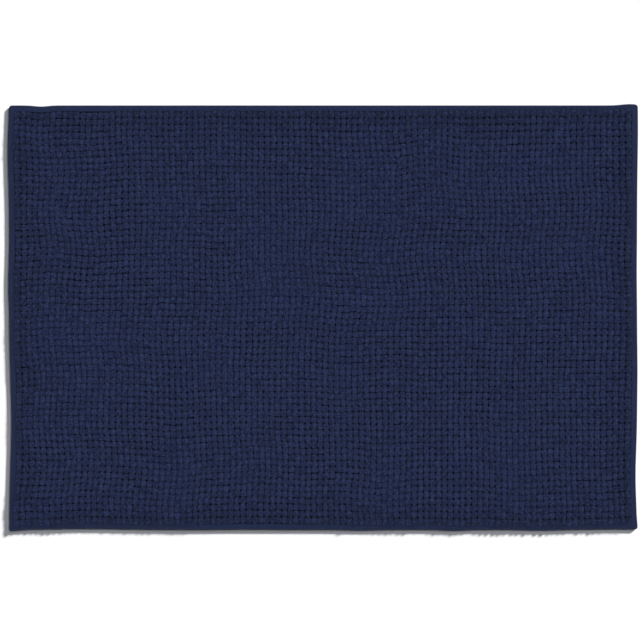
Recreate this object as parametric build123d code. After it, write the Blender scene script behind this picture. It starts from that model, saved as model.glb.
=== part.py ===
"""Bath mat with a looped chenille pile, lying flat.

The mat is built up from the floor in layers:

    latex backing     anti-slip rubber coat that lies on the floor
    ground cloth      woven sheet that the pile is tufted into
    chenille yarns    one yarn for each row of loops, side by side across the mat, with flat ends
    edge yarns        one flattened yarn along the front and one along the back, in the binding
    edge binding      four lengths of tape folded round all of these, mitred at the corners
    seam threads      a needle thread above and a bobbin thread below, along each tape
    care label        a blank ribbon caught under one tape, on the underside

The frame is in millimetres, with its origin at the centre of the underside: +X runs along the
mat's length, +Y across its width and +Z up out of the pile.
"""

import os

from build123d import *

# ---------------------------------------------------------------- driving dimensions
# Outline of the whole mat
mat_length = 895.0
mat_width = 605.0
corner_radius = 4.0

# Layers, from the floor up
latex_thickness = 2.0
cloth_thickness = 1.0
pile_height = 12.5
pressed_height = 4.0  # what is left of the pile where the binding presses it flat

# Edge binding, folded over the edge of the latex, the cloth and the flattened pile
tape_thickness = 0.8
tape_reach = 9.0  # from the mat's edge to the tape's inner edge, above and below
edge_roll = 3.4  # the tape's outer radius where it turns over the edge
roll_limit = 0.45  # a rounded rim takes at most this share of its layer's thickness

# Pile: each yarn's row of loops runs along the mat's length
row_pitch = 8.87
row_gap = 0.4  # between neighbouring yarns
yarn_crown = 3.2  # radius of a yarn's upper corners
pile_setback = 0.5  # from the tape's inner edge to the pile
yarns_per_node = 2

# Seams: one line of stitches along each tape
seam_inset = 6.6  # from the mat's edge to the middle of the seam
thread_diameter = 0.6
thread_sink = 0.2  # how deep the needle thread beds into the tape

# Care label, stepped down from the tape's lower leg to the floor
label_length = 42.0  # the part that shows
label_width = 24.0
label_thickness = 0.4
label_tuck = 5.0  # the part that is held under the tape
label_from_corner = 120.0  # from the mat's left edge to the middle of the label

# Cutting shapes run this far past what they cut
overrun = 1.0

# ---------------------------------------------------------------- what follows from them
cloth_top = latex_thickness + cloth_thickness
pressed_top = cloth_top + pressed_height
hem_thickness = pressed_top + tape_thickness
pile_top = cloth_top + pile_height
core_length = mat_length - 2 * tape_thickness
core_width = mat_width - 2 * tape_thickness
core_roll = min(edge_roll - tape_thickness, roll_limit * (pressed_top - tape_thickness))
field_length = mat_length - 2 * tape_reach
field_width = mat_width - 2 * tape_reach
row_count = int((field_width - 2 * pile_setback + row_gap) // row_pitch)
first_row = -(row_count - 1) * row_pitch / 2
yarn_length = field_length - 2 * pile_setback
yarn_width = row_pitch - row_gap
pile_width = (row_count - 1) * row_pitch + yarn_width

# Each side's two corners, as signs of X and Y, in anticlockwise order
SIDES = {
    "front": ((-1, -1), (1, -1)),
    "right": ((1, -1), (1, 1)),
    "back": ((1, 1), (-1, 1)),
    "left": ((-1, 1), (-1, -1)),
}


# ---------------------------------------------------------------- shared shapes
def plate(length, width, bottom, top):
    """A flat rectangular plate, centred on the mat."""
    return Pos(0, 0, bottom) * extrude(Rectangle(length, width), top - bottom)


def rolled_plate(length, width, bottom, top, radius, roll):
    """A plate with round corners in plan and rounded upper and lower rims."""
    solid = Pos(0, 0, bottom) * extrude(RectangleRounded(length, width, radius), top - bottom)
    lower, upper = solid.faces().sort_by(Axis.Z)[0], solid.faces().sort_by(Axis.Z)[-1]
    return fillet(lower.edges() + upper.edges(), roll)


def border(inset, width, bottom, top):
    """A rectangular ring whose middle line runs inset from the mat's edge."""
    outer = plate(mat_length - 2 * inset + width, mat_width - 2 * inset + width, bottom, top)
    hole_length, hole_width = mat_length - 2 * inset - width, mat_width - 2 * inset - width
    return outer - plate(hole_length, hole_width, bottom - overrun, top + overrun)


def mitre_wedge(side):
    """The share of the border that belongs to one side, cut at 45 degrees at both corners."""
    corners = SIDES[side]
    outer_x, outer_y = mat_length / 2 + overrun, mat_width / 2 + overrun
    inner_x, inner_y = field_length / 2 - overrun, field_width / 2 - overrun
    outer = [(x * outer_x, y * outer_y) for x, y in corners]
    inner = [(x * inner_x, y * inner_y) for x, y in reversed(corners)]
    outline = make_face(Polyline(*outer, *inner, close=True))
    return Pos(0, 0, -overrun) * extrude(outline, hem_thickness + thread_diameter + 2 * overrun)


# ---------------------------------------------------------------- sub-parts
def wrapped_core():
    """The latex, the cloth and the flattened pile together, as the tape folds round them."""
    radius = corner_radius - tape_thickness
    return rolled_plate(core_length, core_width, tape_thickness, pressed_top, radius, core_roll)


def ground_cloth(core):
    """The woven sheet, as large as the core that the tape holds."""
    return core & plate(mat_length, mat_width, latex_thickness, cloth_top)


def latex_coat(core):
    """The rubber coat, thinner where the tape's lower leg passes under it."""
    rim = core & plate(mat_length, mat_width, 0, latex_thickness)
    return rim + plate(field_length, field_width, 0, latex_thickness)


def care_label(coat):
    """A ribbon that starts above the tape's lower leg, no further out than the coat beside it,
    and steps down to lie level with the floor."""
    tape_edge = -mat_width / 2 + tape_reach
    tucked_end = tape_edge - label_tuck
    free_end = tape_edge + label_length
    section = Polyline(
        (tucked_end, tape_thickness),
        (tape_edge, tape_thickness),
        (tape_edge, 0),
        (free_end, 0),
        (free_end, label_thickness),
        (tape_edge + label_thickness, label_thickness),
        (tape_edge + label_thickness, tape_thickness + label_thickness),
        (tucked_end, tape_thickness + label_thickness),
        close=True,
    )
    ribbon = extrude(Plane.YZ * make_face(section), label_width / 2, both=True)
    return coat & Pos(-mat_length / 2 + label_from_corner, 0, 0) * ribbon


def needle_seam():
    """The upper thread all the way round, half sunk into the tape."""
    bottom = hem_thickness - thread_sink
    return border(seam_inset, thread_diameter, bottom, bottom + thread_diameter)


def bobbin_seam():
    """The lower thread all the way round, level with the tape's underside."""
    return border(seam_inset, thread_diameter, 0, thread_diameter)


def binding_tape(core, *seams):
    """The folded tape all the way round, before it is cut at the corners."""
    outside = rolled_plate(mat_length, mat_width, 0, hem_thickness, corner_radius, edge_roll)
    window = plate(field_length, field_width, -overrun, hem_thickness + overrun)
    return outside - [core, window, *seams]


def pressed_bar(core, middle, width):
    """A flattened yarn on the ground cloth, as long as the core that the tape holds."""
    return core & Pos(0, middle, cloth_top + pressed_height / 2) * Box(mat_length, width, pressed_height)


def chenille_yarn(core, row):
    """The plain body of one yarn's row of loops, counted from the front, and its flat ends."""
    middle = first_row + row * row_pitch
    body = Pos(0, middle, cloth_top + pile_height / 2) * Box(yarn_length, yarn_width, pile_height)
    crown = body.faces().sort_by(Axis.Z)[-1].edges().filter_by(Axis.X)
    return fillet(crown, yarn_crown) + pressed_bar(core, middle, yarn_width)


def edge_yarn(core, direction):
    """The flattened yarn between the last standing row and the fold of the tape."""
    inner, outer = pile_width / 2 + row_gap, core_width / 2
    return pressed_bar(core, direction * (inner + outer) / 2, outer - inner)


# ---------------------------------------------------------------- the whole mat
def nodes():
    """Every sub-part's shape, by the name of its node."""
    core = wrapped_core()
    coat = latex_coat(core)
    label = care_label(coat)
    needle, bobbin = needle_seam(), bobbin_seam()
    tape = binding_tape(core, needle, bobbin)
    shapes = {
        "latex_backing": coat - label,
        "ground_cloth": ground_cloth(core),
        "care_label": label,
        "edge_yarn_front": edge_yarn(core, -1),
        "edge_yarn_back": edge_yarn(core, 1),
    }
    for side in SIDES:
        wedge = mitre_wedge(side)
        shapes[f"binding_{side}"] = tape & wedge
        shapes[f"needle_thread_{side}"] = needle & wedge
        shapes[f"bobbin_thread_{side}"] = bobbin & wedge
    for start in range(0, row_count, yarns_per_node):
        rows = range(start, min(start + yarns_per_node, row_count))
        numbers = "_".join(f"{row + 1:02d}" for row in rows)
        shapes[f"pile_rows_{numbers}"] = Compound([chenille_yarn(core, row) for row in rows])
    return shapes


def main():
    os.makedirs("parts", exist_ok=True)
    for name, shape in nodes().items():
        export_step(shape, f"parts/{name}.step")
    print(f"{row_count} yarns, each {yarn_length:.1f} mm long; the mat is {pile_top:.1f} mm thick")


main()
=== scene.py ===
"""Bath mat with a looped chenille pile, laid flat on a pale floor.

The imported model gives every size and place. Each operator below makes one kind of piece round it:

    pile yarns        one soft yarn for each row of loops, tufted through the ground cloth
    ground cloth      the woven sheet that holds the loops
    latex backing     the rubber coat underneath, ridged where the yarns run behind the cloth
    edge binding      four folded tapes, mitred at the corners
    seam threads      the stitches above and below each tape
    care label        a blank ribbon underneath
    stage             floor, lights and camera
"""

import math

import bmesh
import bpy
import numpy as np
from bpy.props import FloatProperty, FloatVectorProperty, IntProperty, PointerProperty
from bpy.types import Operator, Panel, PropertyGroup
from mathutils import Matrix, Vector


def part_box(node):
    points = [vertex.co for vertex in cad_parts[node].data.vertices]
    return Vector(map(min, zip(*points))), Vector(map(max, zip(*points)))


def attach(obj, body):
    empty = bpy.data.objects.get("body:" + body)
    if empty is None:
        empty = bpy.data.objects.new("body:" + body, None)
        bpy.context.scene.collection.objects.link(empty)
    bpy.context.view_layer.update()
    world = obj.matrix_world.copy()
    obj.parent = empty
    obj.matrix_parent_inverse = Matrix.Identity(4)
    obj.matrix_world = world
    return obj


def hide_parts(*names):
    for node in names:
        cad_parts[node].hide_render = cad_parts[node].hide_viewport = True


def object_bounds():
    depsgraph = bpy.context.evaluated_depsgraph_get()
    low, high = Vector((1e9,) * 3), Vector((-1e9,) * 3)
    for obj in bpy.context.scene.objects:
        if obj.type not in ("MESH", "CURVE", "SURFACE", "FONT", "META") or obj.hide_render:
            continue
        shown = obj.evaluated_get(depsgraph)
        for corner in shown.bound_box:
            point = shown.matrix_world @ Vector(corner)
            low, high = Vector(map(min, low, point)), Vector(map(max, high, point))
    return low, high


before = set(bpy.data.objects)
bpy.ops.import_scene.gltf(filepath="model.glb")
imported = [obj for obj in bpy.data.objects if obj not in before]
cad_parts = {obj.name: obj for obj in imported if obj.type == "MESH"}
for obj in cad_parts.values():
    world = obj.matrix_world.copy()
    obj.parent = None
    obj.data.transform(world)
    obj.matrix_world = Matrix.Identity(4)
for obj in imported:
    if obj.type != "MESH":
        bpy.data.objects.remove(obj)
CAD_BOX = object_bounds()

bl_info = {
    "name": "Chenille Bath Mat",
    "version": (1, 0, 0),
    "blender": (4, 5, 0),
    "location": "3D View > Sidebar > Bath Mat",
    "description": "Builds a looped chenille bath mat round its packed frame",
    "category": "Object",
}

# ------------------------------------------------------------------ places taken from the frame
MM = 0.001
LOW, HIGH = CAD_BOX
LENGTH, WIDTH = HIGH.x - LOW.x, HIGH.y - LOW.y
LATEX_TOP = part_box("ground_cloth")[0].z
CLOTH_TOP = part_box("ground_cloth")[1].z
HEM_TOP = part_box("binding_front")[1].z
TAPE_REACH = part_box("binding_front")[1].y - LOW.y
PRESSED_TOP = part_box("edge_yarn_front")[1].z
TAPE_THICKNESS = HEM_TOP - PRESSED_TOP
EDGE_YARNS = {"front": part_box("edge_yarn_front"), "back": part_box("edge_yarn_back")}
SEAM_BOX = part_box("needle_thread_front")
SEAM_INSET = (SEAM_BOX[0].y + SEAM_BOX[1].y) / 2 - LOW.y
THREAD_RADIUS = (SEAM_BOX[1].z - SEAM_BOX[0].z) / 2
LABEL_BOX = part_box("care_label")
LABEL_THICKNESS = LABEL_BOX[1].z - TAPE_THICKNESS
PILE_NODES = sorted(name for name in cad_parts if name.startswith("pile_rows_"))
PILE_BOXES = [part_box(name) for name in PILE_NODES]
ROW_PITCH = (PILE_BOXES[1][0].y - PILE_BOXES[0][0].y) / 2
YARN_WIDTH = PILE_BOXES[0][1].y - PILE_BOXES[0][0].y - ROW_PITCH
YARN_END = PILE_BOXES[0][1].x
FIELD_LENGTH = LENGTH - 2 * TAPE_REACH
PILE_TOP = PILE_BOXES[0][1].z
PILE_HEIGHT = PILE_TOP - CLOTH_TOP

# Quarter turns that bring the front side round to each side of the mat
SIDES = {"front": 0, "right": 1, "back": 2, "left": 3}

# How the laid mat's edges wander: along the side, half length of the bend, how far it pulls in.
# The front and the back are measured along X, the other two along Y.
EDGE_BENDS = {
    "front": (
        (-0.446, 0.018, -1.8 * MM),
        (-0.335, 0.065, 1.3 * MM),
        (-0.105, 0.040, 0.5 * MM),
        (0.055, 0.030, -0.9 * MM),
        (0.187, 0.022, -1.3 * MM),
        (0.310, 0.032, -1.0 * MM),
        (0.415, 0.040, 0.8 * MM),
    ),
    "right": (
        (-0.300, 0.012, -1.0 * MM),
        (-0.225, 0.050, 2.1 * MM),
        (-0.075, 0.045, -0.6 * MM),
        (0.065, 0.040, 0.4 * MM),
        (0.270, 0.070, -1.3 * MM),
    ),
    "back": ((-0.402, 0.013, 1.5 * MM), (0.436, 0.016, -1.9 * MM)),
    "left": ((-0.150, 0.080, 3.0 * MM), (0.050, 0.035, -1.4 * MM), (0.235, 0.055, -2.2 * MM)),
}
BEND_DEPTH = 75 * MM  # how far into the mat an edge's bend is felt
CORNER_RADIUS = 4 * MM
SWELL_SPACING = (170 * MM, 80 * MM)  # between the places where the laid mat rises off the floor

# How far the outer loops lie over the tape (above 0) or stand back from it (below 0): along the
# side, half length, amount
EDGE_SPILLS = {
    "front": ((-0.400, 0.200, 4.8 * MM), (0.250, 0.280, 3.5 * MM)),
    "right": ((0.050, 0.150, 2.0 * MM), (-0.220, 0.080, -1.0 * MM)),
    "back": ((0.330, 0.210, 4.6 * MM), (-0.300, 0.120, 0.6 * MM)),
    "left": ((0.150, 0.130, -0.8 * MM), (-0.280, 0.100, 2.6 * MM)),
}
SPILL_DEPTH = 24 * MM  # how far into the pile this is felt

# Where the loops grow longer along their rows (above 0) or wider across them (below 0): X, Y,
# radius, how much
CROWDING = (
    (-0.34, 0.01, 0.11, 1.2),
    (-0.28, 0.19, 0.11, 0.9),
    (-0.18, -0.08, 0.05, -1.2),
    (0.24, -0.21, 0.09, -1.4),
    (0.31, 0.17, 0.09, -0.9),
    (0.02, 0.20, 0.09, -0.7),
    (0.40, -0.11, 0.08, 0.9),
    (0.06, -0.02, 0.09, 0.5),
)


# ------------------------------------------------------------------ settings
class PileSettings(PropertyGroup):
    loops: IntProperty(name="Loops", description="Loops in each yarn", default=104, min=4)
    drift: FloatProperty(
        name="Drift", description="How far whole patches of loops lean over", default=2.3 * MM,
        unit="LENGTH",
    )
    wander: FloatProperty(
        name="Wander", description="How far single loops stray from their row", default=0.8 * MM,
        unit="LENGTH",
    )
    dimples: FloatProperty(
        name="Dimples", description="How hollow the loops' middles are", default=0.4, subtype="FACTOR"
    )
    unevenness: FloatProperty(
        name="Unevenness", description="How much the loops differ in size", default=0.07, subtype="FACTOR"
    )
    colour: FloatVectorProperty(
        name="Colour", description="Chenille on top of the loops", default=(0.0191, 0.0284, 0.0788),
        subtype="COLOR",
    )
    # Painted shade deep between the loops: darker than the chenille in red and green, and lighter in blue as
    # painted bounce light
    painted_shade_and_bounce: FloatVectorProperty(
        name="Depth colour", description="Chenille deep between the loops", default=(0.004, 0.020, 0.24),
        subtype="COLOR",
    )


class BindingSettings(PropertyGroup):
    stitch: FloatProperty(
        name="Stitch", description="Length of one stitch of the seam", default=3.3 * MM, unit="LENGTH"
    )
    groove: FloatProperty(
        name="Groove", description="How deep the seam draws the tape in", default=0.35 * MM, unit="LENGTH"
    )
    imprint: FloatProperty(
        name="Imprint", description="How far the tufts under the tape show", default=0.22 * MM,
        unit="LENGTH",
    )
    colour: FloatVectorProperty(
        name="Colour", description="Woven tape", default=(0.0155, 0.0265, 0.0790), subtype="COLOR"
    )
    thread_colour: FloatVectorProperty(
        name="Thread colour", description="Seam threads", default=(0.022, 0.032, 0.072), subtype="COLOR"
    )


class BackingSettings(PropertyGroup):
    ridge: FloatProperty(
        name="Ridge", description="How far the yarns stand out under the latex", default=0.5 * MM,
        unit="LENGTH",
    )
    lift: FloatProperty(
        name="Lift", description="How far the laid mat rises off the floor in places", default=0.9 * MM,
        unit="LENGTH",
    )
    latex_colour: FloatVectorProperty(
        name="Latex colour", description="Rubber coat", default=(0.085, 0.100, 0.145), subtype="COLOR"
    )
    # The ground cloth's own colour, with its blue raised as painted bounce light, since it shows only deep
    # between the loops
    cloth_colour_with_bounce: FloatVectorProperty(
        name="Cloth colour", description="Ground cloth", default=(0.008, 0.018, 0.14), subtype="COLOR"
    )
    label_colour: FloatVectorProperty(
        name="Label colour", description="Ribbon of the care label", default=(0.72, 0.72, 0.69),
        subtype="COLOR",
    )


class StageSettings(PropertyGroup):
    mat_light: FloatProperty(name="Mat light", description="Wide light over the mat alone", default=3.3)
    floor_key: FloatProperty(name="Floor key", description="Low light that casts the shadow", default=5.2)
    floor_fill: FloatProperty(name="Floor fill", description="High light on the floor alone", default=0.95)
    elevation: FloatProperty(
        name="Height of the key", description="Angle above the floor", default=math.radians(31.7),
        subtype="ANGLE",
    )
    bearing: FloatProperty(
        name="Side of the light", description="Angle from +X towards +Y", default=math.radians(42),
        subtype="ANGLE",
    )
    distance: FloatProperty(
        name="Camera height", description="From the floor to the camera", default=5.0, unit="LENGTH"
    )
    frame_width: FloatProperty(
        name="Frame width", description="What the camera takes in at the pile", default=0.9104,
        unit="LENGTH",
    )
    floor_colour: FloatVectorProperty(
        name="Floor colour", description="Plain pale floor", default=(0.90, 0.90, 0.90), subtype="COLOR"
    )


# ------------------------------------------------------------------ materials
class Wire:
    """A node's socket, on which Python's own operators do shader maths."""

    def __init__(self, finish, socket):
        self.finish = finish
        self.socket = socket

    def maths(self, operation, first, second):
        return self.finish.node("ShaderNodeMath", {"operation": operation}, {0: first, 1: second})

    def __add__(self, other):
        return self.maths("ADD", self, other)

    def __radd__(self, other):
        return self.maths("ADD", other, self)

    def __sub__(self, other):
        return self.maths("SUBTRACT", self, other)

    def __rsub__(self, other):
        return self.maths("SUBTRACT", other, self)

    def __mul__(self, other):
        return self.maths("MULTIPLY", self, other)

    def __rmul__(self, other):
        return self.maths("MULTIPLY", other, self)


class Finish:
    """A new material, whose nodes are added by the methods below."""

    def __init__(self, name):
        self.material = bpy.data.materials.new(name)
        self.material.use_nodes = True
        self.nodes = self.material.node_tree.nodes
        self.links = self.material.node_tree.links
        self.nodes.clear()

    def node(self, kind, settings=None, inputs=None, output=0):
        """Adds a node: its settings first, then its sockets' values or links."""
        made = self.nodes.new(kind)
        for name, value in (settings or {}).items():
            setattr(made, name, value)
        for key, value in (inputs or {}).items():
            if isinstance(value, Wire):
                self.links.new(value.socket, made.inputs[key])
            else:
                made.inputs[key].default_value = value
        return Wire(self, made.outputs[output])

    def place(self):
        """Where a point is on its piece, in metres."""
        return self.node("ShaderNodeTexCoord", output="Object")

    def attribute(self, name):
        return self.node("ShaderNodeAttribute", {"attribute_name": name}, output="Fac")

    def noise(self, vector, size, detail=2.0):
        """Noise from 0 to 1 with swells about size apart."""
        inputs = {"Vector": vector, "Scale": 1 / size, "Detail": detail}
        return self.node("ShaderNodeTexNoise", inputs=inputs)

    def sine(self, value):
        return self.node("ShaderNodeMath", {"operation": "SINE"}, {0: value})

    def rise(self, value, low, high):
        """Goes smoothly from 0 at low to 1 at high."""
        inputs = {"Value": value, "From Min": low, "From Max": high}
        return self.node("ShaderNodeMapRange", {"interpolation_type": "SMOOTHSTEP"}, inputs)

    def blend(self, factor, first, second):
        """A colour from first to second."""
        first, second = (end if isinstance(end, Wire) else (*end, 1) for end in (first, second))
        return self.node("ShaderNodeMix", {"data_type": "RGBA"}, {0: factor, 6: first, 7: second}, output=2)

    def bump(self, height, depth):
        """A normal that stands out by depth where height is 1."""
        return self.node("ShaderNodeBump", inputs={"Height": height, "Distance": depth})

    def cloth(self, colour, normal=None, roughness=0.9, sheen=0.0, sheen_tint=(1, 1, 1), specular=0.1):
        """Ends the material in a matt shader."""
        inputs = {
            "Base Color": colour,
            "Roughness": roughness,
            "Sheen Weight": sheen,
            "Sheen Roughness": 0.5,
            "Sheen Tint": (*sheen_tint, 1),
            "Specular IOR Level": specular,
        }
        if normal:
            inputs["Normal"] = normal
        shader = self.node("ShaderNodeBsdfPrincipled", inputs=inputs)
        ending = self.nodes.new("ShaderNodeOutputMaterial")
        self.links.new(shader.socket, ending.inputs["Surface"])
        return self.material


def shades(colour, darker, lighter):
    """Two shades of a colour, as shares of it."""
    return [tuple(channel * share for channel in colour) for share in (darker, lighter)]


def chenille(settings):
    """Short dense fibres: tufts, clumps and single fibre ends. Deep between the loops the colour goes over to
    painted shade, darker in red and green and lighter in blue as painted bounce light."""
    finish = Finish("chenille")
    place = finish.place()
    tufts = finish.noise(place, 2.6 * MM, detail=1.0)
    clumps = finish.noise(place, 1.3 * MM, detail=2.0)
    fibres = finish.noise(place, 0.4 * MM, detail=2.0)
    tone = finish.attribute("tone") * 0.08 + tufts * 2.8 + clumps * 3.0 + fibres * 1.4 - 3.15
    darker, lighter = shades(settings.colour, 0.48, 1.52)
    # The height attribute sets the painted shade: 0 is full painted shade deep between the loops, 1 is none
    # on the tops
    top = finish.rise(finish.attribute("height"), 0.32, 0.88)
    colour = finish.blend(top, settings.painted_shade_and_bounce, finish.blend(tone, darker, lighter))
    twist = 1.3 * MM
    ridges = finish.sine(finish.attribute("run") * (2 * math.pi / twist) + clumps * 5.0)
    normal = finish.bump(tufts * 1.1 + clumps * 0.7 + fibres * 0.4 + ridges * 0.05, 0.9 * MM)
    return finish.cloth(
        colour, normal, roughness=1.0, sheen=0.10, sheen_tint=(0.60, 0.72, 1.0), specular=0.05
    )


def woven(name, colour, thread, relief, contrast=1.0, fold_shade=0.0):
    """A twill of fine threads: the attributes across and along hold metres on the cloth.

    Where the attribute fold is 1, the cloth is darker by the given share: painted shade on the tape's edge
    where it turns down out of the light.
    """
    finish = Finish(name)
    turn = 2 * math.pi / thread
    weft = finish.attribute("across") * turn
    warp = finish.attribute("along") * turn
    twill = finish.sine(weft + warp) * 0.5 + finish.sine(weft - warp) * 0.3 + 0.5
    wear = finish.noise(finish.place(), 3.0 * MM, detail=4.0)
    dark, light = shades(colour, 1 - 0.5 * contrast, 1 + 0.55 * contrast)
    shade = finish.blend(twill * 0.6 + wear * 0.8 - 0.25, dark, light)
    if fold_shade:
        # painted shade where the tape turns down round the mat's edge
        shade = finish.blend(finish.attribute("fold") * fold_shade, shade, (0, 0, 0))
    normal = finish.bump(twill + wear * 0.5, relief)
    return finish.cloth(
        shade, normal, roughness=0.85, sheen=0.05, sheen_tint=(0.7, 0.8, 1.0), specular=0.15
    )


def spun_thread(settings):
    """Two plies twisted together."""
    finish = Finish("seam_thread")
    lay = 0.7 * MM
    plies = 2.0
    twist = finish.sine(finish.attribute("run") * (2 * math.pi / lay) + finish.attribute("turn") * plies)
    fuzz = finish.noise(finish.place(), 0.25 * MM)
    dark, light = shades(settings.thread_colour, 0.6, 1.5)
    colour = finish.blend(twist * 0.3 + fuzz * 0.6 + 0.2, dark, light)
    return finish.cloth(colour, finish.bump(twist * 0.5 + fuzz, 0.12 * MM), roughness=0.7, specular=0.25)


def foamed_latex(settings):
    """Matt rubber with fine pores and a mottled colour."""
    finish = Finish("latex")
    place = finish.place()
    pores = finish.node("ShaderNodeTexVoronoi", inputs={"Vector": place, "Scale": 1 / (1.1 * MM)})
    mottle = finish.noise(place, 14 * MM, detail=5.0)
    grain = finish.noise(place, 0.7 * MM, detail=3.0)
    dark, light = shades(settings.latex_colour, 0.65, 1.25)
    colour = finish.blend(mottle * 0.8 + pores * 0.5 - 0.15, dark, light)
    normal = finish.bump(finish.rise(pores, 0.0, 0.35) + grain * 0.6, 0.25 * MM)
    return finish.cloth(colour, normal, roughness=0.75, specular=0.35)


def plain_floor(settings):
    """Smooth pale paper."""
    finish = Finish("floor")
    grain = finish.noise(finish.place(), 0.4, detail=2.0)
    dark, light = shades(settings.floor_colour, 0.992, 1)
    return finish.cloth(finish.blend(grain, dark, light), roughness=1.0, specular=0.0)


# ------------------------------------------------------------------ how the mat lies
class Drift:
    """Smooth seeded noise over the mat's plane, from -1 to 1, with swells a given distance apart."""

    EXTENT = 1.5  # metres across that the noise covers, about the middle of the mat

    def __init__(self, seed, spacing):
        self.spacing = spacing
        count = int(self.EXTENT / spacing) + 4
        self.knots = np.random.default_rng(seed).uniform(-1, 1, (count, count))

    def __call__(self, x, y):
        u = np.asarray(x) / self.spacing + len(self.knots) / 2
        v = np.asarray(y) / self.spacing + len(self.knots) / 2
        i, j = np.floor(u).astype(int), np.floor(v).astype(int)
        s, t = (w * w * (3 - 2 * w) for w in (u - i, v - j))
        near = self.knots[i, j] * (1 - s) + self.knots[i + 1, j] * s
        far = self.knots[i, j + 1] * (1 - s) + self.knots[i + 1, j + 1] * s
        return near * (1 - t) + far * t


def edge_frame(points, side):
    """The inward direction of a side, and each point's distance from that edge and along it."""
    inward = np.rint(Matrix.Rotation(SIDES[side] * math.pi / 2, 2) @ Vector((0, 1)))
    reach = LENGTH / 2 if inward[0] else WIDTH / 2
    return inward, reach + points[:, :2] @ inward, points[:, 1] if inward[0] else points[:, 0]


def bumps(along, table):
    """A sum of smooth bumps along a side."""
    return sum(amount * np.exp(-(((along - centre) / spread) ** 2)) for centre, spread, amount in table)


def settle(points):
    """Takes points of the flat mat to where they are on the laid one."""
    over = np.clip(np.abs(points[:, :2]) - (LENGTH / 2, WIDTH / 2) + CORNER_RADIUS, 0, None) / CORNER_RADIUS
    rounded = over * np.sqrt(1 - over[:, ::-1] ** 2 / 2)
    moved = points.copy()
    moved[:, :2] += np.sign(points[:, :2]) * (rounded - over) * CORNER_RADIUS
    for side, bends in EDGE_BENDS.items():
        inward, from_edge, along = edge_frame(points, side)
        pull = bumps(along, bends) * np.exp(-((from_edge / BEND_DEPTH) ** 2))
        moved[:, :2] += pull[:, None] * inward
    lift = bpy.context.scene.mat_backing.lift
    broad, narrow = (
        Drift(seed, spacing)(*points[:, :2].T) for seed, spacing in zip((11, 12), SWELL_SPACING)
    )
    moved[:, 2] += lift * np.clip(broad + 0.5 * narrow, 0, None)
    return moved


def read_points(mesh):
    """A mesh's points as rows of X, Y and Z."""
    points = np.empty(len(mesh.vertices) * 3)
    mesh.vertices.foreach_get("co", points)
    return points.reshape(-1, 3)


def write_points(mesh, points):
    mesh.vertices.foreach_set("co", points.ravel())
    mesh.update()


def set_attribute(mesh, name, values):
    layer = mesh.attributes.get(name) or mesh.attributes.new(name, "FLOAT", "POINT")
    layer.data.foreach_set("value", values)


def add_piece(name, mesh, material, nodes):
    """Puts a finished mesh in the scene as a piece of the mat that stands for CAD nodes."""
    mesh.materials.clear()
    mesh.materials.append(material)
    mesh.shade_smooth()
    piece = bpy.data.objects.new(name, mesh)
    bpy.context.scene.collection.objects.link(piece)
    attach(piece, "root")
    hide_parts(*nodes)
    return piece


def with_modifier(mesh, kind, **settings):
    """A copy of a mesh with one modifier applied."""
    holder = bpy.data.objects.new("holder", mesh)
    bpy.context.scene.collection.objects.link(holder)
    modifier = holder.modifiers.new(kind, kind)
    for name, value in settings.items():
        setattr(modifier, name, value)
    graph = bpy.context.evaluated_depsgraph_get()
    made = bpy.data.meshes.new_from_object(holder.evaluated_get(graph))
    bpy.data.objects.remove(holder)
    return made


# ------------------------------------------------------------------ soft tubes
def place_ring(x, z, heading, half_width, half_thickness):
    """Where a unit ring goes: across the tube's heading, wide along Y."""
    upright = Matrix(((0, 0, 1, 0), (1, 0, 0, 0), (0, 1, 0, 0), (0, 0, 0, 1)))
    turn = Matrix.Rotation(-heading, 4, "Y") @ upright
    size = Matrix.Diagonal((half_width, half_thickness, 1, 1))
    return Matrix.Translation((x, 0, z)) @ turn @ size


def tube_period(stations, sides, squareness):
    """One period of a tube in the XZ plane, which keeps the run along it and the turn round it.

    A station is (x, z, heading, half width, half thickness).
    """
    tube = bmesh.new()
    for name in ("run", "turn"):
        tube.verts.layers.float.new(name)
    run, turn = tube.verts.layers.float["run"], tube.verts.layers.float["turn"]
    ring = bmesh.ops.create_circle(tube, segments=sides, radius=1)["verts"]
    for v in ring:
        v.co *= (abs(v.co.x) ** squareness + abs(v.co.y) ** squareness) ** (-1 / squareness)
        v[turn] = math.atan2(v.co.y, v.co.x)
    placed = place_ring(*stations[0])
    bmesh.ops.transform(tube, matrix=placed, verts=ring)
    edges = tube.edges[:]
    length = 0
    for before, station in zip(stations, stations[1:]):
        made = bmesh.ops.extrude_edge_only(tube, edges=edges)["geom"]
        ring = [part for part in made if isinstance(part, bmesh.types.BMVert)]
        new_edges = [part for part in made if isinstance(part, bmesh.types.BMEdge)]
        edges = [edge for edge in new_edges if set(edge.verts) <= set(ring)]
        goal = place_ring(*station)
        bmesh.ops.transform(tube, matrix=goal @ placed.inverted(), verts=ring)
        placed = goal
        length += math.dist(before[:2], station[:2])
        for v in ring:
            v[run] = length
    mesh = bpy.data.meshes.new("period")
    tube.to_mesh(mesh)
    tube.free()
    return mesh


def repeat_tube(period, count, pitch):
    """A closed tube of equal periods in a row, centred on X = 0."""
    write_points(period, read_points(period) + (pitch / 2 - count * pitch / 2, 0, 0))
    mesh = with_modifier(
        period, "ARRAY", count=count, use_relative_offset=False, use_constant_offset=True,
        constant_offset_displace=(pitch, 0, 0), use_merge_vertices=True, merge_threshold=pitch * 1e-3,
    )
    tube = bmesh.new()
    tube.from_mesh(mesh)
    bmesh.ops.holes_fill(tube, edges=[edge for edge in tube.edges if edge.is_boundary], sides=0)
    bmesh.ops.recalc_face_normals(tube, faces=tube.faces)
    tube.to_mesh(mesh)
    tube.free()
    return mesh


# ------------------------------------------------------------------ pile
PRESSED_SHADE_HEIGHT = 0.8  # the height for painted shade that flattened yarns are coloured for, where 1 is the loops' top, which has none


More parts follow.
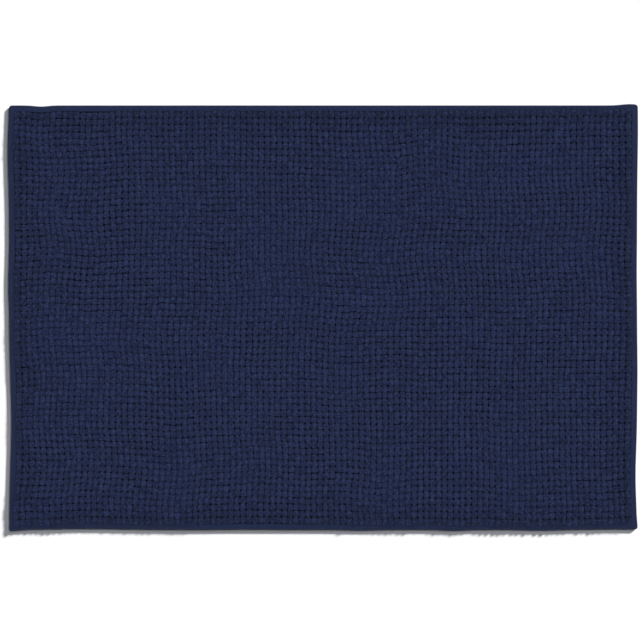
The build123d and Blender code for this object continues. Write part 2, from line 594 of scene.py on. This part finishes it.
def fold_opening(inset):
    """Half the height inside the folded tape, at a distance in from the mat's edge."""
    inner = HEM_TOP / 2 - TAPE_THICKNESS
    return math.sqrt(inner**2 - max(HEM_TOP / 2 - inset, 0) ** 2)


def inside_fold(z):
    """How far in from the mat's edge the tape's inner face is, at a height."""
    inner = HEM_TOP / 2 - TAPE_THICKNESS
    return HEM_TOP / 2 - math.sqrt(inner**2 - (z - HEM_TOP / 2) ** 2)


def loop_stations(pitch):
    """A yarn's way through one loop: up through the cloth, over and down again, and on behind it."""
    leg = 0.254 * pitch  # from the loop's middle to the middle of each leg
    thickness = 0.252 * pitch
    width = 0.527 * ROW_PITCH
    crown = 0.85 * leg  # height of the arch
    springing = PILE_TOP - thickness - crown
    steps = 5
    boxiness = 0.8  # 1 is a round arch, and less is squarer
    arch = []
    for step in range(steps + 1):
        cos, sin = math.cos(math.pi * step / steps), abs(math.sin(math.pi * step / steps))
        across = -leg * math.copysign(abs(cos) ** boxiness, cos)
        heading = math.atan2(crown * cos, leg * sin)
        pinched = width * (1 - 0.05 * abs(cos) ** 3)
        arch.append((across, springing + crown * sin**boxiness, heading, pinched, thickness))
    start = (-pitch / 2, LATEX_TOP - 0.9 * MM, 0, 0.36 * width, 0.3 * thickness)
    foot = (-leg, CLOTH_TOP + 0.3 * MM, math.pi / 2, 0.92 * width, thickness)
    rising = [start, foot, *arch[: len(arch) // 2]]
    falling = [(-x, z, -heading, *sizes) for x, z, heading, *sizes in reversed(rising)]
    return rising + falling


def pressed_end_stations():
    """A yarn's flat end under the tape, from just inside the tape's inner edge into the fold."""
    stations = []
    for inset in (TAPE_REACH + 1.6 * MM, HEM_TOP / 2, 0.6 * HEM_TOP / 2, 0.38 * HEM_TOP / 2):
        top = HEM_TOP / 2 + fold_opening(inset) - 0.1 * MM
        bottom = max(CLOTH_TOP, HEM_TOP / 2 - fold_opening(inset))
        stations.append((LENGTH / 2 - inset, (top + bottom) / 2, 0, 0.49 * YARN_WIDTH, (top - bottom) / 2))
    return stations


def pressed_row_stations(pitch):
    """One flattened loop of a row that lies wholly under the tape."""
    middle, thickness = (CLOTH_TOP + PRESSED_TOP) / 2, 0.47 * (PRESSED_TOP - CLOTH_TOP)
    width = 0.47 * YARN_WIDTH
    neck = (-pitch / 2, middle - 0.3 * MM, 0, 0.9 * width, 0.8 * thickness)
    lump = (-0.25 * pitch, middle, 0, width, thickness)
    return [neck, lump, (-lump[0], *lump[1:]), (-neck[0], *neck[1:])]


def closed_tube(stations, squareness):
    """A single soft tube with both ends filled."""
    return repeat_tube(tube_period(stations, sides=8, squareness=squareness), count=1, pitch=0)


def joined(meshes):
    """One mesh of several."""
    whole = bmesh.new()
    for mesh in meshes:
        whole.from_mesh(mesh)
    mesh = bpy.data.meshes.new("joined")
    whole.to_mesh(mesh)
    whole.free()
    return mesh


def mirrored(mesh):
    """A mesh's mirror image across X = 0, still the right way out."""
    image = bmesh.new()
    image.from_mesh(mesh)
    bmesh.ops.scale(image, vec=(-1, 1, 1), verts=image.verts)
    bmesh.ops.reverse_faces(image, faces=image.faces)
    mesh = bpy.data.meshes.new("image")
    image.to_mesh(mesh)
    image.free()
    return mesh


def patch_lean(seed, x, y):
    """How far patches of loops lean over, as a share of the drift: broad swells and narrow ones."""
    return 2.4 * Drift(seed, 0.060)(x, y) + 0.4 * Drift(seed + 1, 0.026)(x, y)


def edge_spill(x, y):
    """How far the loops near the edges are pushed along X and along Y, over the tape or back from it."""
    flat = np.stack((x.ravel(), y.ravel()), axis=1)
    spill = np.zeros(flat.shape)
    for side, spills in EDGE_SPILLS.items():
        inward, from_edge, along = edge_frame(flat, side)
        outward = bumps(along, spills) * np.exp(-(from_edge - TAPE_REACH) / SPILL_DEPTH)
        spill -= outward[:, None] * inward
    return (column.reshape(x.shape) for column in spill.T)


def crowding(x, y):
    """How strongly the loops crowd, as the sum of the round places where they do."""
    return sum(
        amount * np.exp(-((x - at_x) ** 2 + (y - at_y) ** 2) / radius**2)
        for at_x, at_y, radius, amount in CROWDING
    )


def loop_shapes(settings, rows):
    """How each loop of each yarn differs from a plain one, as arrays of rows by loops.

    Every call of stray takes the next numbers of one seeded series, so their order matters.
    """
    pitch = FIELD_LENGTH / settings.loops
    middles = (np.arange(settings.loops) + 0.5) * pitch - FIELD_LENGTH / 2
    x = np.broadcast_to(middles, (len(rows), settings.loops))
    y = np.broadcast_to(np.array(rows)[:, None], x.shape)
    draw = np.random.default_rng(5)

    def stray():
        return draw.normal(0, 1, x.shape).clip(-2, 2)

    def patch(seed, spacing):
        return Drift(seed, spacing)(x, y)

    uneven = settings.unevenness
    crowded = 1.35 * crowding(x, y) + patch(26, 0.05)
    inset = np.minimum(LENGTH / 2 - np.abs(x), WIDTH / 2 - np.abs(y))
    calm = 1 - 0.6 * np.exp(-(((inset - TAPE_REACH) / (25 * MM)) ** 2))  # loops beside the tape vary less
    swelling = 0.05 * (1 - calm)  # and are a little fuller
    draw_out = 0.4  # patches are longer in the direction in which they lean
    spill_x, spill_y = edge_spill(x, y)
    lean_x = settings.drift * patch_lean(21, draw_out * x, y) * calm + spill_x
    lean_y = settings.drift * patch_lean(23, x, draw_out * y) * calm + spill_y
    # Crowns that lean apart also stretch, which narrows the gap between them
    stretch_x = np.gradient(lean_x, axis=1) / pitch
    stretch_y = np.gradient(lean_y, axis=0) / ROW_PITCH
    return {
        "lean_x": lean_x,
        "lean_y": lean_y,
        "stray_x": settings.wander * stray(),
        "stray_y": settings.wander * stray(),
        "size_x": 1 + uneven * (crowded + 0.55 * stray()) + swelling + stretch_x,
        "size_y": 1 + uneven * (-crowded + 0.55 * stray()) + swelling + stretch_y,
        "height": 1 + (0.035 * patch(27, 0.10) + 0.03 * stray()) * calm - 0.03,
        "yaw": math.radians(9) * (patch(28, 0.05) + 0.8 * stray()),
        "tone": stray() - 5 * (1 - calm),
        # how much painted shade the lower parts of each loop get: none beside the tape, where they stand
        # open, full one row further in
        "depth_shade_share": np.clip((inset - TAPE_REACH) / ROW_PITCH, 0, 1) ** 2,
        "dimple": np.clip(settings.dimples + 0.3 * stray(), 0, 1),
    }


def shape_yarn(plain, pressed, row_y, shape, settings):
    """A yarn's points, with each loop moved, turned and sized by its own shape, the height that sets each
    point's painted shade, and their tones."""
    pitch = FIELD_LENGTH / settings.loops
    index = np.clip(np.floor((plain[:, 0] + FIELD_LENGTH / 2) / pitch), 0, settings.loops - 1).astype(int)
    own = {name: values[index] for name, values in shape.items()}
    centre = (index + 0.5) * pitch - FIELD_LENGTH / 2
    up = np.clip((plain[:, 2] - CLOTH_TOP) / PILE_HEIGHT, 0, 1)
    up[pressed] = 0
    crown = up**3
    x = (plain[:, 0] - centre) * (1 + (own["size_x"] - 1) * crown)
    y = plain[:, 1] * (1 + (own["size_y"] - 1) * crown)
    cos, sin = np.cos(own["yaw"] * up), np.sin(own["yaw"] * up)
    dimple = own["dimple"] * up * np.exp(-((x / (2.2 * MM)) ** 2) - (y / (1.6 * MM)) ** 2)
    dimple_depth = 1.1 * MM
    at = plain[:, 0] + plain[:, 2] * 0.7, row_y + plain[:, 1]
    lump_x, lump_y, lump_z = (0.25 * MM * Drift(seed, 2.6 * MM)(*at) for seed in (31, 32, 33))
    sink = (own["lean_x"] ** 2 + own["lean_y"] ** 2) / (2 * PILE_HEIGHT)
    rise = PILE_HEIGHT * (own["height"] - 1) - sink + lump_z
    shift_x = (own["lean_x"] + lump_x) * up + own["stray_x"] * crown
    shift_y = (own["lean_y"] + lump_y) * up + own["stray_y"] * crown
    points = np.stack(
        (
            centre + x * cos - y * sin + shift_x,
            row_y + x * sin + y * cos + shift_y,
            plain[:, 2] + up * rise - dimple_depth * dimple,
        ),
        axis=1,
    )
    # Painted shade: more the lower a point sits between the loops, none on loops beside the tape, and some in
    # each dimple's hollow
    height = np.where(pressed, PRESSED_SHADE_HEIGHT, 1 - (1 - up) * own["depth_shade_share"] - 0.35 * dimple)
    return points, height, own["tone"]


class MAT_OT_pile(Operator):
    """Make every chenille yarn, one piece for each row of loops"""

    bl_idname = "mat.pile"
    bl_label = "Pile yarns"

    def execute(self, context):
        settings = context.scene.mat_pile
        pitch = FIELD_LENGTH / settings.loops
        loops = repeat_tube(tube_period(loop_stations(pitch), sides=8, squareness=2.7), settings.loops, pitch)
        end = closed_tube(pressed_end_stations(), squareness=3.0)
        plain_mesh = joined((loops, end, mirrored(end)))
        plain = read_points(plain_mesh)
        pressed = np.arange(len(plain)) >= len(loops.vertices)
        material = chenille(settings)
        rows = []
        for name, (low, high) in zip(PILE_NODES, PILE_BOXES):
            rows.append((low.y + YARN_WIDTH / 2, name))
            rows.append((high.y - YARN_WIDTH / 2, name))
        shapes = loop_shapes(settings, [y for y, _ in rows])
        for number, (y, node) in enumerate(rows):
            shape = {name: values[number] for name, values in shapes.items()}
            points, height, tone = shape_yarn(plain, pressed, y, shape, settings)
            mesh = plain_mesh.copy()
            write_points(mesh, settle(points))
            # the height attribute sets how much painted shade each point gets
            set_attribute(mesh, "height", height)
            set_attribute(mesh, "tone", tone)
            add_piece(f"pile_yarn_{number + 1:02d}", mesh, material, [node])
        self.press_edge_yarns(settings, material)
        return {"FINISHED"}

    def press_edge_yarns(self, settings, material):
        """The yarns at the front and the back that lie wholly in the fold of the tape."""
        count = settings.loops + 2
        pitch = 2 * (YARN_END - 0.6 * MM) / count
        period = tube_period(pressed_row_stations(pitch), sides=8, squareness=2.2)
        plain_mesh = repeat_tube(period, count, pitch)
        for side, (low, high) in EDGE_YARNS.items():
            mesh = plain_mesh.copy()
            inner = low.y if side == "back" else high.y
            middle = inner + math.copysign(0.47 * YARN_WIDTH - 0.8 * MM, inner)
            write_points(mesh, settle(read_points(mesh) + (0, middle, 0)))
            set_attribute(mesh, "height", np.full(len(mesh.vertices), PRESSED_SHADE_HEIGHT))
            set_attribute(mesh, "tone", np.zeros(len(mesh.vertices)))
            add_piece(f"edge_yarn_{side}_flat", mesh, material, [f"edge_yarn_{side}"])


# ------------------------------------------------------------------ ground cloth and latex
def flat_grid(length, width, cells_x, cells_y, z):
    """A flat sheet as a mesh of equal cells."""
    sheet = bmesh.new()
    bmesh.ops.create_grid(sheet, x_segments=cells_x, y_segments=cells_y, size=0.5)
    bmesh.ops.scale(sheet, vec=(length, width, 1), verts=sheet.verts)
    bmesh.ops.translate(sheet, vec=(0, 0, z), verts=sheet.verts)
    mesh = bpy.data.meshes.new("sheet")
    sheet.to_mesh(mesh)
    sheet.free()
    return mesh


class MAT_OT_ground_cloth(Operator):
    """Make the woven sheet that the loops stand on"""

    bl_idname = "mat.ground_cloth"
    bl_label = "Ground cloth"

    def execute(self, context):
        cell = 8 * MM
        length, width = (side - 2 * inside_fold(LATEX_TOP) for side in (LENGTH, WIDTH))
        mesh = flat_grid(length, width, int(length / cell), int(width / cell), CLOTH_TOP)
        points = read_points(mesh)
        set_attribute(mesh, "along", points[:, 0])
        set_attribute(mesh, "across", points[:, 1])
        write_points(mesh, settle(points))
        mesh = with_modifier(mesh, "SOLIDIFY", thickness=CLOTH_TOP - LATEX_TOP, offset=-1)
        # its blue is raised as painted bounce light deep between the loops
        colour = tuple(context.scene.mat_backing.cloth_colour_with_bounce)
        material = woven("ground_cloth", colour, thread=1.6 * MM, relief=0.3 * MM)
        cloth = add_piece("ground_cloth_sheet", mesh, material, ["ground_cloth"])
        return {"FINISHED"}


def latex_underside(x, y, settings, pitch):
    """The coat's lower surface: ridges where the yarns run behind the cloth, hollow over tape and label."""
    row = (y - PILE_BOXES[0][0].y - YARN_WIDTH / 2) / ROW_PITCH
    from_row = np.abs(row - np.round(row)) * ROW_PITCH
    stitch = 0.68 + 0.32 * np.cos(2 * np.pi * (x + FIELD_LENGTH / 2) / pitch)
    inset = np.minimum(LENGTH / 2 - np.abs(x), WIDTH / 2 - np.abs(y))
    in_field = np.clip((inset - TAPE_REACH) / (3 * MM), 0, 1)
    z = settings.ridge * (1 - in_field * stitch * np.exp(-((from_row / (1.9 * MM)) ** 2)))
    z = np.where(inset < TAPE_REACH + 0.2 * MM, TAPE_THICKNESS + 0.05 * MM, z)
    margin = 2.5 * MM
    low, high = LABEL_BOX
    over_label = (x > low.x - margin) & (x < high.x + margin) & (y < high.y + margin)
    return np.where(over_label, np.maximum(z, LABEL_THICKNESS + 0.12 * MM), z)


class MAT_OT_latex(Operator):
    """Make the rubber coat with the ridges of the yarns behind it"""

    bl_idname = "mat.latex"
    bl_label = "Latex backing"

    def execute(self, context):
        settings = context.scene.mat_backing
        pitch = FIELD_LENGTH / context.scene.mat_pile.loops
        length, width = (side - 2 * inside_fold(LATEX_TOP) for side in (LENGTH, WIDTH))
        cells_x, cells_y = int(length / (pitch / 3)), int(width / (ROW_PITCH / 4))
        sheet = bmesh.new()
        bmesh.ops.create_grid(sheet, x_segments=cells_x, y_segments=cells_y, size=0.5)
        bmesh.ops.scale(sheet, vec=(length, width, 1), verts=sheet.verts)
        lower = sheet.verts[:]
        rim = [edge for edge in sheet.edges if edge.is_boundary]
        made = bmesh.ops.extrude_edge_only(sheet, edges=rim)["geom"]
        upper = [part for part in made if isinstance(part, bmesh.types.BMVert)]
        bmesh.ops.translate(sheet, vec=(0, 0, LATEX_TOP), verts=upper)
        for v in lower:
            v.co.z = 0
        top = [edge for edge in sheet.edges if edge.is_boundary]
        bmesh.ops.holes_fill(sheet, edges=top, sides=0)
        bmesh.ops.recalc_face_normals(sheet, faces=sheet.faces)
        mesh = bpy.data.meshes.new("latex")
        sheet.to_mesh(mesh)
        sheet.free()
        points = read_points(mesh)
        under = points[:, 2] < LATEX_TOP / 2
        limit = np.array((LENGTH, WIDTH)) / 2 - inside_fold(TAPE_THICKNESS + 0.05 * MM)
        points[under, :2] = np.clip(points[under, :2], -limit, limit)
        points[under, 2] = latex_underside(*points[under, :2].T, settings, pitch)
        write_points(mesh, settle(points))
        add_piece("latex_coat", mesh, foamed_latex(settings), ["latex_backing"])
        return {"FINISHED"}


# ------------------------------------------------------------------ edge binding
TAPE_LOFT = 0.25 * MM  # how far the soft tape stands above the hem's CAD height


def onto_side(points, side):
    """Takes points from the X axis, with Y counted inwards from the edge, to one side of the mat."""
    quarter = SIDES[side]
    depth = WIDTH / 2 if quarter % 2 == 0 else LENGTH / 2
    turn = np.array(Matrix.Rotation(quarter * math.pi / 2, 3, "Z"))
    return (points + (0, -depth, 0)) @ turn.T


def side_length(side):
    return LENGTH if SIDES[side] % 2 == 0 else WIDTH


def tape_section(groove):
    """The tape's outer line, from its upper inner edge round the mat's edge to its lower inner edge."""
    half = HEM_TOP / 2
    dent = 0.9 * MM  # half the groove's width
    points = []
    for inset in (
        TAPE_REACH, TAPE_REACH - 0.5 * MM, SEAM_INSET + dent, SEAM_INSET, SEAM_INSET - dent, half + 0.8 * MM
    ):
        drawn = groove * math.exp(-(((inset - SEAM_INSET) / dent) ** 2))
        points.append((inset, HEM_TOP + TAPE_LOFT - drawn))
    steps = 8
    for step in range(steps + 1):
        angle = math.pi / 2 - math.pi * step / steps
        bulge = 0.12 * MM * math.sin(angle)
        points.append((half * (1 - math.cos(angle)), half + (half + bulge) * math.sin(angle)))
    under = 1.2 * MM
    points += [(SEAM_INSET - under, 0), (SEAM_INSET, 0.1 * MM), (SEAM_INSET + under, 0), (TAPE_REACH, 0)]
    return points


def sweep_tape(length, groove):
    """The tape of one side as an open surface, mitred at both ends."""
    tape = bmesh.new()
    across = tape.verts.layers.float.new("across")
    line = []
    turn = 0
    section = tape_section(groove)
    for before, point in zip([section[0], *section], section):
        turn += math.dist(before, point)
        v = tape.verts.new((-length / 2, *point))
        v[across] = turn
        line.append(v)
    edges = [tape.edges.new(pair) for pair in zip(line, line[1:])]
    steps = int(length / (2.1 * MM))
    bmesh.ops.spin(
        tape, geom=[*line, *edges], cent=(0, 0, 0), axis=(0, 0, 1), dvec=(length / steps, 0, 0), angle=0,
        steps=steps, use_duplicate=False,
    )
    for end in (-1, 1):
        bmesh.ops.bisect_plane(
            tape, geom=[*tape.verts, *tape.edges, *tape.faces], dist=1e-7,
            plane_co=(end * length / 2, 0, 0), plane_no=(end, 1, 0), clear_outer=True,
        )
    bmesh.ops.recalc_face_normals(tape, faces=tape.faces)
    mesh = bpy.data.meshes.new("tape")
    tape.to_mesh(mesh)
    tape.free()
    return mesh


def press_tape(points, side, settings, pitch):
    """The tape follows the tufts under it and is drawn in at each stitch."""
    seed = 40 + SIDES[side]
    x, inset = points[:, 0], points[:, 1]
    upper = np.clip((points[:, 2] - HEM_TOP / 2) / (HEM_TOP / 2), 0, 1)
    tufts = np.cos(2 * np.pi * x / pitch + 2.5 * Drift(seed, 0.05)(x, 0 * x))
    slack = Drift(seed + 4, 0.02)(x, inset)
    at_seam = np.exp(-(((inset - SEAM_INSET) / (1.2 * MM)) ** 2))
    stitches = np.cos(2 * np.pi * x / settings.stitch)
    puckers = 0.12 * MM
    pressed = points.copy()
    pressed[:, 2] += upper * (settings.imprint * (tufts + 0.8 * slack) * (1 - at_seam))
    pressed[:, 2] += upper * puckers * stitches * at_seam
    return pressed


class MAT_OT_binding(Operator):
    """Make the four tapes that are folded round the mat's edge"""

    bl_idname = "mat.binding"
    bl_label = "Edge binding"

    def execute(self, context):
        settings = context.scene.mat_binding
        pitch = FIELD_LENGTH / context.scene.mat_pile.loops
        colour = tuple(settings.colour)
        material = woven("binding_tape", colour, thread=0.9 * MM, relief=0.22 * MM, fold_shade=0.3)
        for side in SIDES:
            length = side_length(side)
            mesh = sweep_tape(length, settings.groove)
            points = read_points(mesh)
            set_attribute(mesh, "along", points[:, 0])
            # fold marks where the tape turns down round the edge, which gets painted shade
            set_attribute(mesh, "fold", np.clip((HEM_TOP / 2 - points[:, 1]) / (1.2 * MM), 0, 1))
            points = press_tape(points, side, settings, pitch)
            write_points(mesh, settle(onto_side(points, side)))
            mesh = with_modifier(mesh, "SOLIDIFY", thickness=TAPE_THICKNESS, offset=-1)
            tape = add_piece(f"binding_tape_{side}", mesh, material, [f"binding_{side}"])
        return {"FINISHED"}


# ------------------------------------------------------------------ seams
def stitch_stations(stitch, radius):
    """A thread's way over one stitch, from hole to hole."""
    half = stitch / 2
    dip = 1.5 * radius
    return [
        (-half, -dip, 0, radius, 0.7 * radius),
        (-0.72 * half, 0.1 * radius, 0.9, radius, radius),
        (-0.38 * half, 0.75 * radius, 0.2, radius, radius),
        (0.38 * half, 0.75 * radius, -0.2, radius, radius),
        (0.72 * half, 0.1 * radius, -0.9, radius, radius),
        (half, -dip, 0, radius, 0.7 * radius),
    ]


class MAT_OT_seams(Operator):
    """Make the stitches above and below each tape"""

    bl_idname = "mat.seams"
    bl_label = "Seam threads"

    def execute(self, context):
        settings = context.scene.mat_binding
        material = spun_thread(settings)
        groove_top = HEM_TOP + TAPE_LOFT - settings.groove
        for side in SIDES:
            count = round((side_length(side) - 2 * SEAM_INSET) / settings.stitch)
            stitch = (side_length(side) - 2 * SEAM_INSET) / count
            period = tube_period(stitch_stations(stitch, THREAD_RADIUS), sides=6, squareness=2.0)
            plain_mesh = repeat_tube(period, count, stitch)
            plain = read_points(plain_mesh)
            for thread, up, seat in (("needle", 1, groove_top), ("bobbin", -1, THREAD_RADIUS)):
                mesh = plain_mesh.copy()
                flip = np.array((1, up, up))
                points = onto_side(plain * flip + (0, SEAM_INSET, seat), side)
                write_points(mesh, settle(points))
                name = f"{thread}_thread_{side}"
                add_piece(f"{name}_stitches", mesh, material, [name])
        return {"FINISHED"}


# ------------------------------------------------------------------ care label
class MAT_OT_label(Operator):
    """Make the blank ribbon that is caught under the front tape"""

    bl_idname = "mat.label"
    bl_label = "Care label"

    def execute(self, context):
        low, high = LABEL_BOX
        size = high - low
        mesh = flat_grid(size.x, size.y, cells_x=16, cells_y=40, z=0)
        points = read_points(mesh) + ((low.x + high.x) / 2, (low.y + high.y) / 2, 0)
        set_attribute(mesh, "along", points[:, 1])
        set_attribute(mesh, "across", points[:, 0])
        tape_edge = LOW.y + TAPE_REACH
        slope = 2 * MM
        step = np.clip((tape_edge + slope - points[:, 1]) / slope, 0, 1)
        points[:, 2] = LABEL_THICKNESS + step * TAPE_THICKNESS
        write_points(mesh, settle(points))
        mesh = with_modifier(mesh, "SOLIDIFY", thickness=LABEL_THICKNESS - 0.05 * MM, offset=-1)
        colour = tuple(context.scene.mat_backing.label_colour)
        material = woven("label_ribbon", colour, thread=0.5 * MM, relief=0.03 * MM, contrast=0.12)
        label = add_piece("care_label_ribbon", mesh, material, ["care_label"])
        return {"FINISHED"}


# ------------------------------------------------------------------ stage
BACKDROP_STRENGTH = 0.95
CAMERA_OFFSET = (-4.6 * MM, -3.4 * MM)  # from above the mat's centre, along X and Y


def add_light(name, strength, spread, towards, receivers, tint=(1, 1, 1)):
    """A sun, coming from a direction with some degrees' spread, that lights only the given objects."""
    lamp = bpy.data.lights.new(name, "SUN")
    lamp.energy = strength
    lamp.color = tint
    lamp.angle = math.radians(spread)
    light = bpy.data.objects.new(name, lamp)
    light.rotation_euler = towards.to_track_quat("Z", "Y").to_euler()
    bpy.context.scene.collection.objects.link(light)
    lit = bpy.data.collections.new(f"lit_by_{name}")
    for receiver in receivers:
        lit.objects.link(receiver)
    light.light_linking.receiver_collection = lit


class MAT_OT_stage(Operator):
    """Lay the floor and set up the light and the camera"""

    bl_idname = "mat.stage"
    bl_label = "Floor, light and camera"

    def execute(self, context):
        settings = context.scene.mat_stage
        scene = context.scene
        mesh = flat_grid(length=24, width=24, cells_x=1, cells_y=1, z=-0.3 * MM)
        mesh.materials.append(plain_floor(settings))
        floor = bpy.data.objects.new("floor", mesh)
        scene.collection.objects.link(floor)

        pieces = [piece for piece in scene.objects if piece.type == "MESH" and piece != floor]
        low = Vector((
            math.cos(settings.elevation) * math.cos(settings.bearing),
            math.cos(settings.elevation) * math.sin(settings.bearing),
            math.sin(settings.elevation),
        ))
        high = Vector((0.3, 0.3, 1))
        add_light("mat_light", settings.mat_light, 110, Vector((0.1, 0.1, 1)), pieces)
        add_light("floor_key", settings.floor_key, 7, low, [floor])
        add_light("floor_fill", settings.floor_fill, 30, high, [floor], tint=(0.90, 0.93, 1))

        world = bpy.data.worlds.new("studio")
        world.use_nodes = True
        background = world.node_tree.nodes["Background"]
        background.inputs["Color"].default_value = (1, 1, 1, 1)
        background.inputs["Strength"].default_value = BACKDROP_STRENGTH
        world.cycles_visibility.diffuse = False
        scene.world = world

        view = bpy.data.cameras.new("camera")
        view.lens_unit = "FOV"
        view.angle = 2 * math.atan(settings.frame_width / 2 / (settings.distance - PILE_TOP))
        camera = bpy.data.objects.new("camera", view)
        camera.location = (*CAMERA_OFFSET, settings.distance)
        scene.collection.objects.link(camera)
        scene.camera = camera
        scene.view_settings.view_transform = "Standard"
        return {"FINISHED"}


# ------------------------------------------------------------------ panel and registration
OPERATORS = (
    MAT_OT_pile,
    MAT_OT_latex,
    MAT_OT_ground_cloth,
    MAT_OT_binding,
    MAT_OT_seams,
    MAT_OT_label,
    MAT_OT_stage,
)
SETTINGS = {
    "mat_pile": PileSettings,
    "mat_binding": BindingSettings,
    "mat_backing": BackingSettings,
    "mat_stage": StageSettings,
}


class MAT_PT_panel(Panel):
    """Lists the mat's settings and the operators that make its pieces"""

    bl_idname = "MAT_PT_panel"
    bl_label = "Bath Mat"
    bl_space_type = "VIEW_3D"
    bl_region_type = "UI"
    bl_category = "Bath Mat"

    def draw(self, context):
        for name, group in SETTINGS.items():
            column = self.layout.column(align=True)
            for setting in group.__annotations__:
                column.prop(getattr(context.scene, name), setting)
        for operator in OPERATORS:
            self.layout.operator(operator.bl_idname)


def register():
    for group in (*SETTINGS.values(), *OPERATORS, MAT_PT_panel):
        bpy.utils.register_class(group)
    for name, group in SETTINGS.items():
        setattr(bpy.types.Scene, name, PointerProperty(type=group))


def unregister():
    for name in SETTINGS:
        delattr(bpy.types.Scene, name)
    for group in (MAT_PT_panel, *reversed(OPERATORS), *SETTINGS.values()):
        bpy.utils.unregister_class(group)


def main():
    register()
    for operator in OPERATORS:
        group, name = operator.bl_idname.split(".")
        getattr(getattr(bpy.ops, group), name)()


if __name__ == "__main__":
    main()
